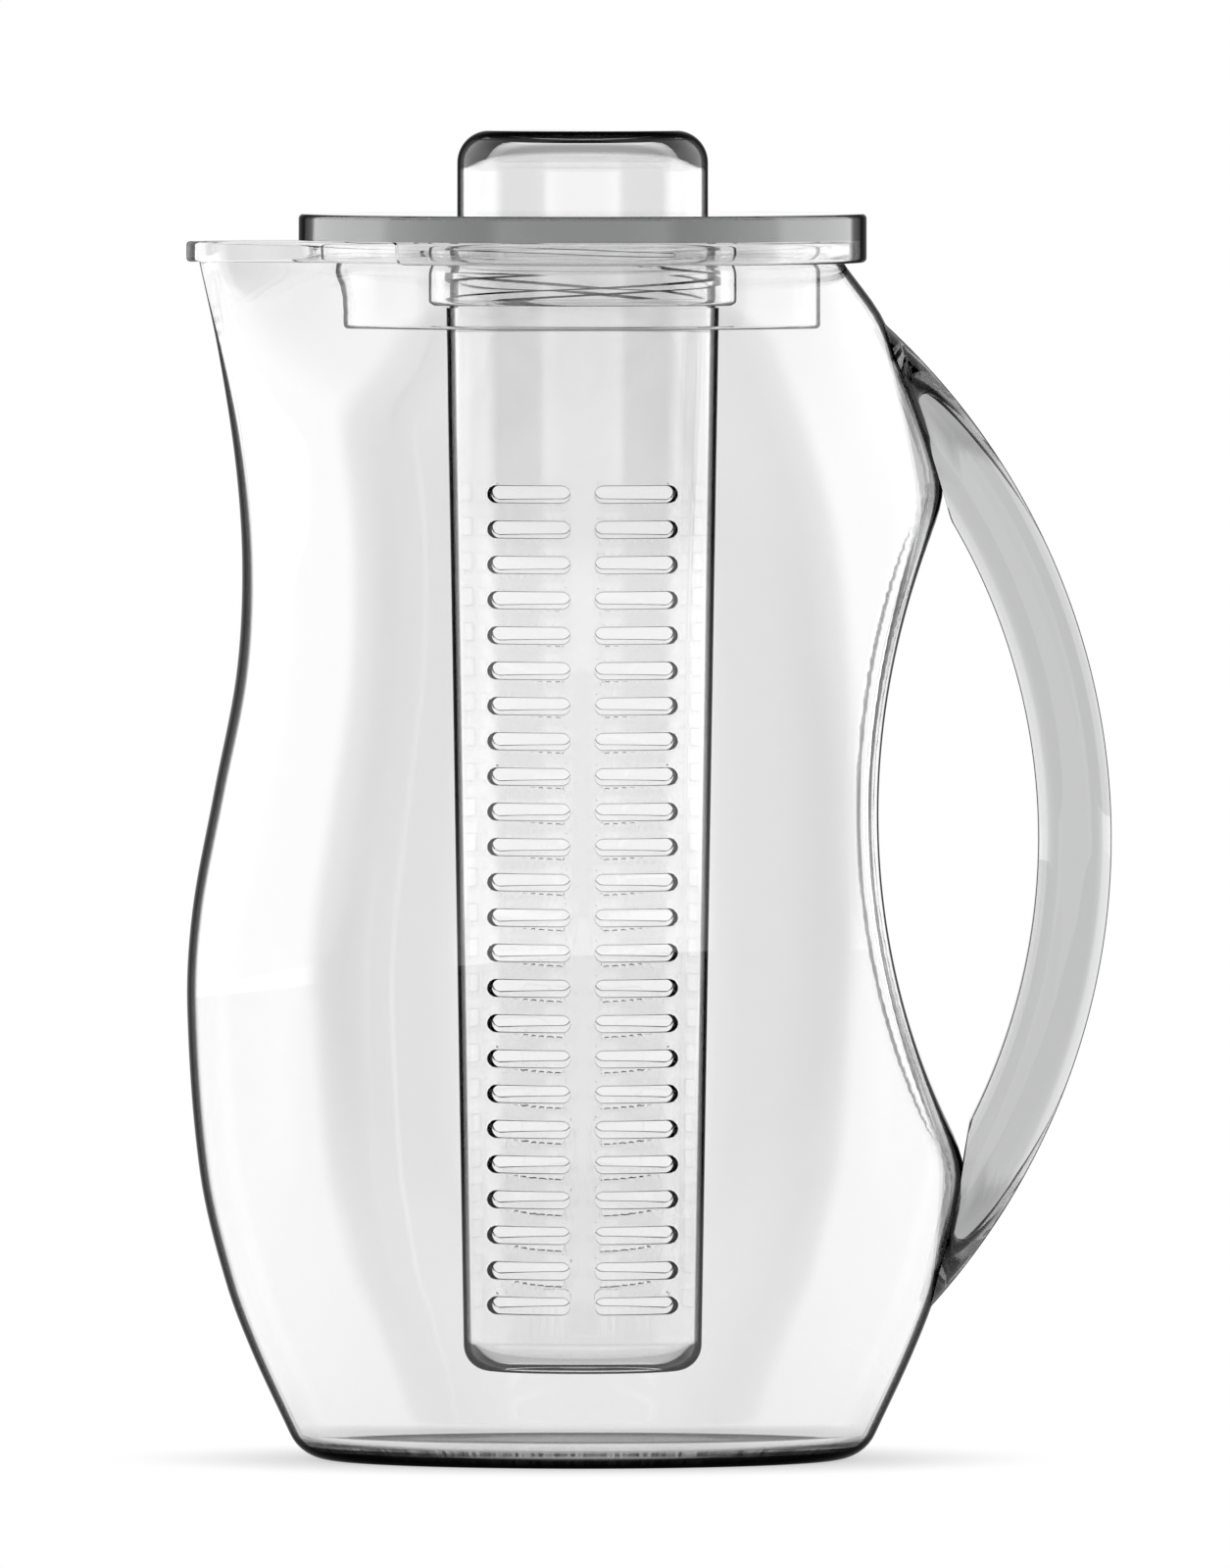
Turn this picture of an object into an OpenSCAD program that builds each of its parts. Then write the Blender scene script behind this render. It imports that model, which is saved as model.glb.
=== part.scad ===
// Fruit infuser pitcher: a clear jug with a beak spout and a curved handle, a loose lid
// with a hollow knob, and a slotted infuser tube that screws into the lid.
// Z is up and the base rests on z = 0. The handle points along +X, the spout along -X.

/* [Jug] */
// Height of the rim above the table
rim_z = 248.6; // [220:0.2:290]
// Widest radius of the barrel
belly_r = 80.9; // [74:0.1:95]
// Thickness of the side wall
wall_t = 1.8; // [1.4:0.1:2.6]
// Thickness of the floor
floor_t = 3.2; // [2.4:0.1:4.4]
// Radius of the outer corner between side and base
base_corner_r = 9; // [8:0.5:11]
// Radius of the inner corner between side and floor
floor_corner_r = 5; // [3:0.5:6]
// Height of the rolled rim
rim_h = 4.2; // [3:0.1:6]
// How far the rolled rim stands out of the wall
rim_out = 2.6; // [2:0.1:3.2]
// Radius that rounds the edges of the rolled rim
rim_round_r = 0.8; // [0.4:0.1:1]

/* [Spout and waist] */
// Angle over which the beak spout dies out at the rim
beak_spread_angle = 14; // [11:1:20]
// Angle over which the pinched waist dies out
waist_spread_angle = 50; // [40:1:60]
// How far below the neck the beak starts to narrow
beak_h = 44.4; // [30:0.2:65]

/* [Hand recess] */
// How deep the recess is pressed into the barrel
recess_depth = 20.8; // [15:0.1:24]
// Radius of the recess's curve
recess_r = 149; // [140:1:165]
// How far the recess's middle lies above the handle's middle
recess_lift = 6; // [0:0.1:12]
// Width of the soft edge where barrel and recess meet
recess_edge = 4; // [2:0.5:6]

/* [Handle] */
// Thickness of the handle bar, towards the hand
grip_t = 15; // [12:0.5:18]
// Width of the handle bar, across the hand
grip_w = 24; // [18:1:30]
// Radius of the handle bar's rounded edges
grip_edge_r = 6; // [3:0.5:7]
// Room between the handle bar and the barrel's widest place
grip_room = 12; // [8:0.1:18]
// How far the handle's middle lies above the middle of the jug
grip_lift = 4.6; // [0:0.1:9]
// How far the bar's outer curve ends inside the neck
grip_bury = 4.7; // [3:0.1:8]

/* [Lid] */
// Thickness of the lid disc
lid_t = 5.4; // [4:0.1:7]
// Radius that rounds the disc's edge
lid_edge_r = 1; // [0.5:0.1:1.6]
// Depth of the skirt below the disc
skirt_h = 4.6; // [3:0.1:6]
// Thickness of the skirt
skirt_t = 1.9; // [1.4:0.1:2.6]
// Gap between the skirt and the rolled rim
skirt_gap = 0.4; // [0.3:0.05:0.8]
// Half of the angle that the skirt covers round the handle side
skirt_half_angle = 131; // [110:1:140]
// Gap between the plug ring and the jug's mouth
plug_gap = 2.4; // [1.5:0.1:5]
// Depth of the plug ring below the disc
plug_h = 18; // [12:0.5:24]
// Wall of the plug ring
plug_t = 1.5; // [1.2:0.1:2.5]
// Gap between the resting lid and the rim
seat_gap = 0.2; // [0.1:0.05:0.4]

/* [Knob] */
// Outer radius of the knob
knob_r = 25.6; // [20:0.1:30]
// Height of the knob above the disc
knob_h = 17; // [12:0.5:24]
// Side wall of the knob
knob_wall_t = 1.5; // [1.2:0.1:3]
// Top wall of the knob
knob_top_t = 3.2; // [2:0.1:5]
// Radius of the knob's rounded upper edge
knob_edge_r = 6.6; // [5:0.1:8]

/* [Infuser] */
// Outer radius of the tube under the collar
tube_top_r = 27.8; // [26:0.1:30]
// Outer radius of the tube at its bottom corner
tube_bottom_r = 24.3; // [22:0.1:25.5]
// Height of the tube's underside above the table
tube_z = 18.2; // [17.6:0.1:30]
// Wall of the tube
tube_wall_t = 1.5; // [1.2:0.1:2]
// Floor of the tube
tube_floor_t = 2.6; // [2:0.1:4]
// Radius of the tube's rounded bottom edge
tube_edge_r = 5.4; // [4:0.1:7]
// Depth of the collar below the disc
collar_h = 13.4; // [10:0.1:13.8]
// Wall of the collar
collar_t = 2.8; // [2:0.1:4]
// Height of the thread's ridge
thread_h = 1.1; // [0.6:0.1:1.4]
// Width of the thread's ridge
thread_w = 1.8; // [1.2:0.1:2.4]
// Number of the thread's ridges on the neck
thread_ridges = 2; // [1:1:2]
// Distance between the thread's ridges
thread_pitch = 4; // [3:0.1:4.6]
// Gap between the neck's thread and the collar
thread_gap = 0.4; // [0.2:0.05:0.6]
// Gap between the neck's end and the disc
neck_gap = 0.3; // [0.2:0.05:0.5]

/* [Slots] */
// Angle from the middle of the front or back to the two columns beside it
slot_column_angle = 26.5; // [25:0.5:35]
// Length of a slot
slot_w = 18.8; // [12:0.2:19.2]
// Height of a slot
slot_h = 3.4; // [2.4:0.1:4]
// Distance between the slots of a column
slot_pitch = 7.18; // [5:0.02:7.4]
// Height of the lowest slots above the tube's underside
slot_lift = 13.9; // [10:0.1:20]
// Least distance from the highest slots to the tube's shoulder
slot_clear = 37; // [20:0.5:60]

/* [Hidden] */

// Overrun of every cut past the face that it opens
cut_over = 1;
// Small step used to read the slope of a curve
probe = 0.5;
// Room between the collar's bore and the tube's shoulder
thread_slack = 0.4;
// Smoothness of round faces
round_fn = 96;
corner_fn = 32;

// Barrel outline: shares of the neck's height and of the widest radius
barrel_shares = [[0.02, 0.737], [0.089, 0.834], [0.147, 0.900], [0.237, 0.965], [0.389, 1],
                 [0.532, 0.998], [0.675, 0.977], [0.818, 0.909], [0.949, 0.763], [1, 0.656]];
// Outline on the spout side: shares of the same two sizes
spout_shares = [[0.02, 0.737], [0.089, 0.834], [0.147, 0.900], [0.237, 0.965], [0.376, 0.998],
                [0.458, 0.985], [0.556, 0.931], [0.655, 0.874], [0.741, 0.859],
                [0.826, 0.874], [0.925, 0.919], [1, 0.967]];
// Lean of the wall where it leaves the base corner
base_lean = 24;
// Number of steps round the jug, up its wall and round its corners
jug_steps = 72;
wall_steps = 24;
corner_steps = 3;
// A quarter of a full turn
quarter_turn_angle = 90;

neck_z = rim_z - rim_h;
beak_start_z = neck_z - beak_h;
lid_z = rim_z + seat_gap;
lid_top_z = lid_z + lid_t;
corner_turn_angle = quarter_turn_angle - base_lean;
corner_top_z = base_corner_r * (1 - sin(base_lean));
// Turn of the outer corner at which it passes the floor's upper side
floor_turn_angle = acos(1 - floor_t / base_corner_r);
floor_corner_top_z = floor_t + floor_corner_r * (1 - sin(base_lean));
grip_z = neck_z / 2 + grip_lift;
grip_high_z = neck_z - rim_h;
grip_low_z = 2 * base_corner_r;
grip_reach = belly_r + grip_room + grip_t;
grip_rise = grip_high_z - grip_z;
grip_bulge = grip_reach - (barrel_r(grip_high_z) - grip_bury);
grip_outer_r = (pow(grip_rise, 2) + pow(grip_bulge, 2)) / (2 * grip_bulge);
grip_inner_r = grip_outer_r - grip_t;
grip_x = grip_reach - grip_outer_r;
recess_x = belly_r - recess_depth;
recess_z = grip_z + recess_lift;
mouth_r = barrel_r(neck_z) - wall_t * free_lean(0, neck_z);
plug_r = mouth_r - plug_gap;
lid_r = barrel_r(neck_z) + rim_out + skirt_gap + skirt_t;
skirt_z = lid_z - skirt_h;
collar_z = lid_z - collar_h;
collar_bore_r = tube_top_r + thread_gap + thread_slack;
collar_r = collar_bore_r + collar_t;
neck_r = tube_top_r + thread_slack - thread_h;
neck_top_z = lid_z - neck_gap;
neck_bore_r = neck_r - tube_wall_t;
shoulder_z = collar_z - neck_gap;
slot_z = tube_z + slot_lift;
slot_rows = 1 + floor((shoulder_z - slot_clear - slot_z) / slot_pitch);
// Directions of the slot columns: two behind and two in front
slot_directions = [for (facing = [1, -1], side = [1, -1])
                   facing * quarter_turn_angle + side * slot_column_angle];

// Slope of a point list at one of its points
function knot_slope(pts, i) =
    let (a = pts[max(i - 1, 0)], b = pts[min(i + 1, len(pts) - 1)])
    (b[1] - a[1]) / (b[0] - a[0]);

// Smooth curve through a point list, read at one place
function curve_at(pts, s, i = 0) =
    i < len(pts) - 2 && s > pts[i + 1][0] ? curve_at(pts, s, i + 1) :
    let (a = pts[i], b = pts[i + 1], w = b[0] - a[0], t = (s - a[0]) / w)
    (1 + 2 * t) * (1 - t) * (1 - t) * a[1] + t * (1 - t) * (1 - t) * w * knot_slope(pts, i)
    + t * t * (3 - 2 * t) * b[1] - t * t * (1 - t) * w * knot_slope(pts, i + 1);

// Wall outlines on the barrel side and on the spout side
function barrel_r(z) = belly_r * curve_at(barrel_shares, z / neck_z);
function spout_r(z) = belly_r * curve_at(spout_shares, z / neck_z);

function ease(t) = let (c = min(max(t, 0), 1)) c * c * (3 - 2 * c);
function mix(a, b, t) = a + (b - a) * t;

// Angle from the spout's middle, and how much of the spout's outline holds there
function off_spout(angle) = abs(180 - abs(angle));
function spout_part(angle, z) =
    let (narrow = ease((z - beak_start_z) / (neck_z - beak_start_z)),
         spread = mix(waist_spread_angle, beak_spread_angle, narrow))
    exp(-pow(off_spout(angle) / spread, 2));

// Radius of the jug before the recess is taken out
function free_r(angle, z) = mix(barrel_r(z), spout_r(z), spout_part(angle, z));
function free_lean(angle, z) =
    let (slope = (free_r(angle, z + probe) - free_r(angle, z - probe)) / (2 * probe))
    sqrt(1 + slope * slope);

// Distance from the axis to the recess wall, and how far that wall leans
function recess_drop(z) = min(abs(z - recess_z), recess_r);
function recess_wall_x(z) = recess_x + recess_r - sqrt(pow(recess_r, 2) - pow(recess_drop(z), 2));
function recess_lean(z) = recess_r / sqrt(pow(recess_r, 2) - pow(min(recess_drop(z), belly_r), 2));

// Smaller of two sizes, with a soft change from one to the other
function soft_min(a, b, edge) =
    let (near = max(edge - abs(a - b), 0)) min(a, b) - near * near / (4 * edge);

// Radius of the jug's wall at an angle and a height, set in from the outside
function jug_r(angle, z, inset) =
    let (round_r = free_r(angle, z) - inset * free_lean(angle, z),
         flat_x = recess_wall_x(z) - inset * recess_lean(z))
    cos(angle) * round_r < flat_x - recess_edge ? round_r :
    soft_min(round_r, flat_x / cos(angle), recess_edge);

// One ring of points: the shape is read at shape_z and drawn at draw_z
function jug_ring(shape_z, draw_z, inset, out) =
    [for (i = [0 : jug_steps - 1])
        let (angle = i * 360 / jug_steps, r = jug_r(angle, shape_z, inset) + out)
        [r * cos(angle), r * sin(angle), draw_z]];

// Rings of a rounded corner between a flat floor and the wall, from one turn to another
function corner_rings(flat_z, corner_r, inset, top_z, first_turn, last_turn) =
    [for (i = [0 : corner_steps])
        let (turn = mix(first_turn, last_turn, i / corner_steps))
        jug_ring(top_z, flat_z + corner_r * (1 - cos(turn)), inset,
                 corner_r * (sin(turn) - cos(base_lean)))];

function wall_rings(low_z, inset) =
    [for (i = [1 : wall_steps])
        let (z = mix(low_z, neck_z, i / wall_steps)) jug_ring(z, z, inset, 0)];

// The rolled rim, from the neck's outside over the top
function rim_rings() = [
    jug_ring(neck_z, neck_z, 0, rim_out - rim_round_r),
    jug_ring(neck_z, neck_z + rim_round_r, 0, rim_out),
    jug_ring(neck_z, rim_z - rim_round_r, 0, rim_out),
    jug_ring(neck_z, rim_z, 0, rim_out - rim_round_r),
    jug_ring(neck_z, rim_z, wall_t, rim_round_r),
    jug_ring(neck_z, rim_z - rim_round_r, wall_t, 0)];

function flipped(list) = [for (i = [len(list) - 1 : -1 : 0]) list[i]];

floor_rings = corner_rings(0, base_corner_r, 0, corner_top_z, 0, floor_turn_angle);
body_rings = concat(corner_rings(0, base_corner_r, 0, corner_top_z, floor_turn_angle,
                                 corner_turn_angle),
                    wall_rings(corner_top_z, 0),
                    rim_rings(),
                    flipped(wall_rings(floor_corner_top_z, wall_t)),
                    flipped(corner_rings(floor_t, floor_corner_r, wall_t, floor_corner_top_z, 0,
                                         corner_turn_angle)));

// Closes a stack of rings with a middle point at each end
module ring_stack(rings, first_middle, last_middle) {
    n = len(rings[0]);
    last = len(rings) - 1;
    points = concat([first_middle], [for (ring = rings) each ring], [last_middle]);
    start_faces = [for (i = [0 : n - 1]) [0, 1 + i, 1 + (i + 1) % n]];
    side_faces = [for (k = [0 : last - 1], i = [0 : n - 1])
        let (a = 1 + k * n + i, b = 1 + k * n + (i + 1) % n)
        each [[a, a + n, b], [b, a + n, b + n]]];
    end_faces = [for (i = [0 : n - 1])
        [1 + last * n + i, len(points) - 1, 1 + last * n + (i + 1) % n]];
    polyhedron(points, concat(start_faces, side_faces, end_faces), convexity = 8);
}

// Joins a list of rings into a hollow body, the last ring to the first
module ring_loop(rings) {
    n = len(rings[0]);
    faces = [for (k = [0 : len(rings) - 1], i = [0 : n - 1])
        let (next = (k + 1) % len(rings), a = k * n + i, b = k * n + (i + 1) % n,
             c = next * n + i, d = next * n + (i + 1) % n)
        each [[a, c, b], [b, c, d]]];
    polyhedron([for (ring = rings) each ring], faces, convexity = 8);
}

// Flat floor of the moulded jug, with the lower part of its rounded corner
module pitcher_floor() {
    color([0.93, 0.95, 0.96, 0.35])
        ring_stack(floor_rings, [0, 0, 0], [0, 0, floor_t]);
}

// Wall of the moulded jug with its beak spout, pinched waist, hand recess and rolled rim
module pitcher_body() {
    color([0.93, 0.95, 0.96, 0.35])
        ring_loop(body_rings);
}

// Solid of the round barrel, to which the handle's feet are cut
module barrel_solid() {
    side = [for (i = [0 : wall_steps])
        let (z = mix(corner_top_z, neck_z, i / wall_steps)) [barrel_r(z), z]];
    rotate_extrude($fn = round_fn)
        polygon(concat([[0, corner_top_z]], side, [[0, neck_z]]));
}

// Rectangle with rounded corners, centred
module rounded_bar(width, height, edge_r) {
    union() {
        square([width - 2 * edge_r, height], center = true);
        square([width, height - 2 * edge_r], center = true);
        for (x = [-1, 1], y = [-1, 1])
            translate([x * (width / 2 - edge_r), y * (height / 2 - edge_r)])
                circle(r = edge_r, $fn = corner_fn);
    }
}

// Curved handle bar, bonded to the barrel above and below the recess
module handle() {
    top_turn = asin(grip_rise / grip_outer_r);
    bottom_turn = -asin((grip_z - grip_low_z) / grip_outer_r);
    color([0.90, 0.92, 0.93, 0.45])
        difference() {
            translate([grip_x, 0, grip_z])
                rotate([90, 0, 0])
                    rotate([0, 0, bottom_turn])
                        rotate_extrude(angle = top_turn - bottom_turn, $fn = round_fn)
                            translate([(grip_outer_r + grip_inner_r) / 2, 0])
                                rounded_bar(grip_t, grip_w, grip_edge_r);
            barrel_solid();
        }
}

// Outline of a disc's half section with rounded upper and lower edges
module disc_section(radius, low_z, high_z, edge_r) {
    union() {
        translate([0, low_z])
            square([radius - edge_r, high_z - low_z]);
        translate([0, low_z + edge_r])
            square([radius, high_z - low_z - 2 * edge_r]);
        for (z = [low_z + edge_r, high_z - edge_r])
            translate([radius - edge_r, z])
                circle(r = edge_r, $fn = corner_fn);
    }
}

// Lid disc with the skirt that closes the gap round the handle side
module lid_cover() {
    reach = lid_r / cos(180 - skirt_half_angle) + cut_over;
    color([0.90, 0.92, 0.93, 0.45])
        difference() {
            rotate_extrude($fn = round_fn)
                difference() {
                    disc_section(lid_r, skirt_z, lid_top_z, lid_edge_r);
                    translate([-cut_over, skirt_z - cut_over])
                        square([lid_r - skirt_t + cut_over, skirt_h + cut_over]);
                }
            translate([0, 0, skirt_z - cut_over])
                linear_extrude(skirt_h + cut_over)
                    polygon([[0, 0],
                             [reach * cos(skirt_half_angle), reach * sin(skirt_half_angle)],
                             [-reach, reach * sin(skirt_half_angle)],
                             [-reach, -reach * sin(skirt_half_angle)],
                             [reach * cos(skirt_half_angle), -reach * sin(skirt_half_angle)]]);
        }
}

// Upright ring with a rounded lower outer edge
module edged_ring(outer_r, wall, low_z, high_z, edge_r) {
    rotate_extrude($fn = round_fn)
        union() {
            translate([outer_r - wall, low_z])
                square([wall - edge_r, high_z - low_z]);
            translate([outer_r - wall, low_z + edge_r])
                square([wall, high_z - low_z - edge_r]);
            translate([outer_r - edge_r, low_z + edge_r])
                circle(r = edge_r, $fn = corner_fn);
        }
}

// Ring that centres the lid in the jug's mouth
module lid_plug_ring() {
    color([0.93, 0.95, 0.96, 0.35])
        edged_ring(plug_r, plug_t, lid_z - plug_h, lid_z, plug_t / 2);
}

// Ring that holds the infuser's neck
module infuser_collar() {
    color([0.88, 0.90, 0.91, 0.5])
        edged_ring(collar_r, collar_t, collar_z, lid_z, collar_t / 2);
}

// Half section of a cup: outer radius at the mouth and at the closed end, and a rounded end
module cup_section(mouth_r, end_r, mouth_z, end_z, edge_r) {
    difference() {
        union() {
            polygon([[0, end_z + edge_r], [end_r, end_z + edge_r], [mouth_r, mouth_z], [0, mouth_z]]);
            translate([0, end_z])
                square([end_r - edge_r, edge_r]);
            translate([end_r - edge_r, end_z + edge_r])
                circle(r = edge_r, $fn = corner_fn);
        }
        translate([-end_r, end_z - edge_r])
            square([end_r, mouth_z - end_z + 2 * edge_r]);
    }
}

// Hollow cap that serves as the lid's grip
module lid_knob() {
    color([0.90, 0.92, 0.93, 0.4])
        translate([0, 0, lid_top_z + knob_h])
            mirror([0, 0, 1])
                difference() {
                    rotate_extrude($fn = round_fn)
                        cup_section(knob_r, knob_r, knob_h, 0, knob_edge_r);
                    rotate_extrude($fn = round_fn)
                        cup_section(knob_r - knob_wall_t, knob_r - knob_wall_t,
                                    knob_h + cut_over, knob_top_t,
                                    knob_edge_r - knob_wall_t);
                }
}

// Flat-sided slot with round ends, cut outward through the tube's wall
module slot_cutter() {
    half = (slot_w - slot_h) / 2;
    rotate([90, 0, 90])
        linear_extrude(tube_top_r + cut_over)
            union() {
                square([2 * half, slot_h], center = true);
                for (side = [-1, 1])
                    translate([side * half, 0])
                        circle(r = slot_h / 2, $fn = corner_fn);
            }
}

// Half section of the neck with its thread's ridges, drawn as rings
module neck_section() {
    polygon(concat(
        [[neck_bore_r, shoulder_z], [neck_r, shoulder_z]],
        [for (k = [0 : thread_ridges - 1])
            let (z = collar_z + thread_w + k * thread_pitch)
            each [[neck_r, z - thread_w / 2], [neck_r + thread_h, z - thread_w / 4],
                  [neck_r + thread_h, z + thread_w / 4], [neck_r, z + thread_w / 2]]],
        [[neck_r, neck_top_z], [neck_bore_r, neck_top_z]]));
}

// Slotted tube with a closed bottom and a threaded neck
module infuser_tube() {
    color([0.93, 0.95, 0.96, 0.35])
        difference() {
            rotate_extrude($fn = round_fn)
                union() {
                    neck_section();
                    difference() {
                        cup_section(tube_top_r, tube_bottom_r, shoulder_z, tube_z, tube_edge_r);
                        cup_section(neck_bore_r, tube_bottom_r - tube_wall_t, shoulder_z,
                                    tube_z + tube_floor_t, tube_edge_r - tube_wall_t);
                    }
                }
            for (direction = slot_directions, row = [0 : slot_rows - 1])
                rotate([0, 0, direction])
                    translate([0, 0, slot_z + row * slot_pitch])
                        slot_cutter();
        }
}

pitcher_floor();
pitcher_body();
handle();
lid_cover();
lid_plug_ring();
infuser_collar();
lid_knob();
infuser_tube();
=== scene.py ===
import math
import bmesh
import bpy
from mathutils import Matrix, Vector


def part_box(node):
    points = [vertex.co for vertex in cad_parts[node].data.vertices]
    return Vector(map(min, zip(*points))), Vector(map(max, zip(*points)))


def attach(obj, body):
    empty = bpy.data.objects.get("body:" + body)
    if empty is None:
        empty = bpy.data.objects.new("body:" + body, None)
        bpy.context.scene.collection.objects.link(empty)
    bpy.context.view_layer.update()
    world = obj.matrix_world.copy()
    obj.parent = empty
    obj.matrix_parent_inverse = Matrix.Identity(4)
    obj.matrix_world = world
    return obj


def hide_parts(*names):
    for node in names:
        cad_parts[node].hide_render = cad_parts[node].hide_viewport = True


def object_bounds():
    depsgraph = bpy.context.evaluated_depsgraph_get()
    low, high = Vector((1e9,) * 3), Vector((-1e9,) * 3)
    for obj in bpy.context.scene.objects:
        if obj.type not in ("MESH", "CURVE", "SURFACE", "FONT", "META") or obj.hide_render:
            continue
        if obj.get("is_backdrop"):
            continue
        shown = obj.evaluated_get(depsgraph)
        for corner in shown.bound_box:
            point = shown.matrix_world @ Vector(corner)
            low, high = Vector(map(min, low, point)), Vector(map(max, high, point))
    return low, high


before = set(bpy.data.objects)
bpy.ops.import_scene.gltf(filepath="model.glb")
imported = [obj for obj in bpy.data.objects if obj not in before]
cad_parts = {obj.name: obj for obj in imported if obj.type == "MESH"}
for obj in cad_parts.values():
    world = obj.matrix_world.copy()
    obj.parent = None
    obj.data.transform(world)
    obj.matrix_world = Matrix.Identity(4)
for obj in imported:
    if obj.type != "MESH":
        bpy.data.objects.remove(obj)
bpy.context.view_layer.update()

# The photograph's view: a very long lens, so that the side view is nearly parallel,
# looking down a little more than a degree on the lid.
view_height = 0.320
lens_mm = 1000
sensor_mm = 36
look_down = math.radians(1.4)
aim = Vector((0.0066, 0, 0.1378))
camera_distance = view_height * lens_mm / sensor_mm

camera = bpy.data.objects.new("photo_camera", bpy.data.cameras.new("photo_camera"))
camera.data.lens = lens_mm
camera.data.sensor_width = sensor_mm
camera.data.clip_end = 100
camera.location = aim + camera_distance * Vector((0, -math.cos(look_down), math.sin(look_down)))
camera.rotation_euler = (math.pi / 2 - look_down, 0, 0)
bpy.context.collection.objects.link(camera)
bpy.context.scene.camera = camera
bpy.context.scene.view_settings.view_transform = "Standard"
bpy.context.scene.cycles.max_bounces = 26
bpy.context.scene.cycles.transmission_bounces = 26
bpy.context.scene.cycles.glossy_bounces = 8
bpy.context.scene.cycles.transparent_max_bounces = 16


# The studio: a white room, bright at the height of the object and dimmer overhead, with
# a lamp at each side. Mirrored in the plastic it is dark in front, but for a soft box
# behind the camera, so that clear walls show dark, crisp edges.
def join(tree, kind, inputs=(), **settings):
    made = tree.nodes.new(kind)
    for name, value in settings.items():
        setattr(made, name, value)
    for socket, value in inputs:
        if isinstance(value, bpy.types.NodeSocket):
            tree.links.new(value, made.inputs[socket])
        else:
            made.inputs[socket].default_value = value
    return made


def maths(tree, operation, *values):
    made = join(tree, "ShaderNodeMath", list(enumerate(values)), operation=operation)
    return made.outputs[0]


# Goes from at_start to at_end while the value goes from start to end.
def fade_over(tree, value, start, end, at_start, at_end, kind="SMOOTHSTEP"):
    made = join(tree, "ShaderNodeMapRange",
                [(0, value), (1, start), (2, end), (3, at_start), (4, at_end)],
                interpolation_type=kind)
    return made.outputs[0]


def mixed(tree, share, first, second):
    return join(tree, "ShaderNodeMix", [(0, share), (2, first), (3, second)]).outputs[0]


def studio_world():
    world = bpy.data.worlds.new("studio")
    world.use_nodes = True
    tree = world.node_tree
    tree.nodes.clear()
    coordinates = join(tree, "ShaderNodeTexCoord")
    way = join(tree, "ShaderNodeSeparateXYZ", [(0, coordinates.outputs["Generated"])])
    height = maths(tree, "ABSOLUTE", way.outputs["Z"])
    aside = maths(tree, "ABSOLUTE", way.outputs["X"])
    wall = fade_over(tree, height, 0.30, 0.75, 1.0, 0.45)
    lamps = fade_over(tree, aside, 0.25, 0.65, 1.0, 1.45)
    room = maths(tree, "MULTIPLY", wall, lamps)
    front = fade_over(tree, way.outputs["Y"], -0.12, 0.04, 0.0, 1.0)
    box_wide = fade_over(tree, aside, 0.52, 0.66, 0.85, 0.0)
    box_high = fade_over(tree, height, 0.22, 0.34, 1.0, 0.0)
    soft_box = maths(tree, "MULTIPLY", box_wide, box_high)
    lit = maths(tree, "MAXIMUM", front, soft_box)
    dark_fronted_room = maths(tree, "MULTIPLY", room, lit)
    path = join(tree, "ShaderNodeLightPath")
    mirrored = maths(tree, "GREATER_THAN", path.outputs["Glossy Depth"], 0.5)
    seen = mixed(tree, mirrored, room, dark_fronted_room)
    plain = mixed(tree, path.outputs["Is Camera Ray"], seen, 1.0)
    background = join(tree, "ShaderNodeBackground", [("Color", plain), ("Strength", 1.0)])
    join(tree, "ShaderNodeOutputWorld", [("Surface", background.outputs[0])])
    bpy.context.scene.world = world


studio_world()

# The floor: a plain pale table top, matt, laid flat under the jug. It keeps a soft shadow
# there and runs out into white.
floor_r = 3.0
floor_sides = 96
floor_grey = (0.9, 0.9, 0.9, 1)
shadow_r, white_r = 0.052, 0.100
shadow_white = 0.55
floor_mesh = bpy.data.meshes.new("floor")
bm = bmesh.new()
bmesh.ops.create_circle(bm, cap_ends=True, segments=floor_sides, radius=floor_r)
bm.to_mesh(floor_mesh)
bm.free()
floor = bpy.data.objects.new("floor", floor_mesh)
bpy.context.collection.objects.link(floor)
floor_material = bpy.data.materials.new("pale_floor")
floor_material.use_nodes = True
tree = floor_material.node_tree
tree.nodes.clear()
place = join(tree, "ShaderNodeTexCoord").outputs["Object"]
reach = join(tree, "ShaderNodeVectorMath", [(0, place)], operation="LENGTH").outputs["Value"]
fade = fade_over(tree, reach, shadow_r, white_r, shadow_white, 1.0)
path = join(tree, "ShaderNodeLightPath")
straight = maths(tree, "MAXIMUM", path.outputs["Is Camera Ray"],
                 path.outputs["Is Transmission Ray"])
looked_at = maths(tree, "MAXIMUM", straight, path.outputs["Is Glossy Ray"])
ground = join(tree, "ShaderNodeSeparateXYZ", [(0, place)])
ahead = fade_over(tree, ground.outputs["Y"], -0.3, 0.1, 0.0, 1.0)
mirrored = maths(tree, "GREATER_THAN", path.outputs["Glossy Depth"], 0.5)
glow = mixed(tree, mirrored, 1.0, ahead)
white = join(tree, "ShaderNodeEmission", [(0, (1, 1, 1, 1)), (1, glow)])
pale = join(tree, "ShaderNodeBsdfDiffuse", [(0, floor_grey)])
shadowed = join(tree, "ShaderNodeMixShader",
                [(0, fade), (1, pale.outputs[0]), (2, white.outputs[0])])
shown = join(tree, "ShaderNodeMixShader",
             [(0, looked_at), (1, pale.outputs[0]), (2, shadowed.outputs[0])])
join(tree, "ShaderNodeOutputMaterial", [(0, shown.outputs[0])])
floor_mesh.materials.append(floor_material)
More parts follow.
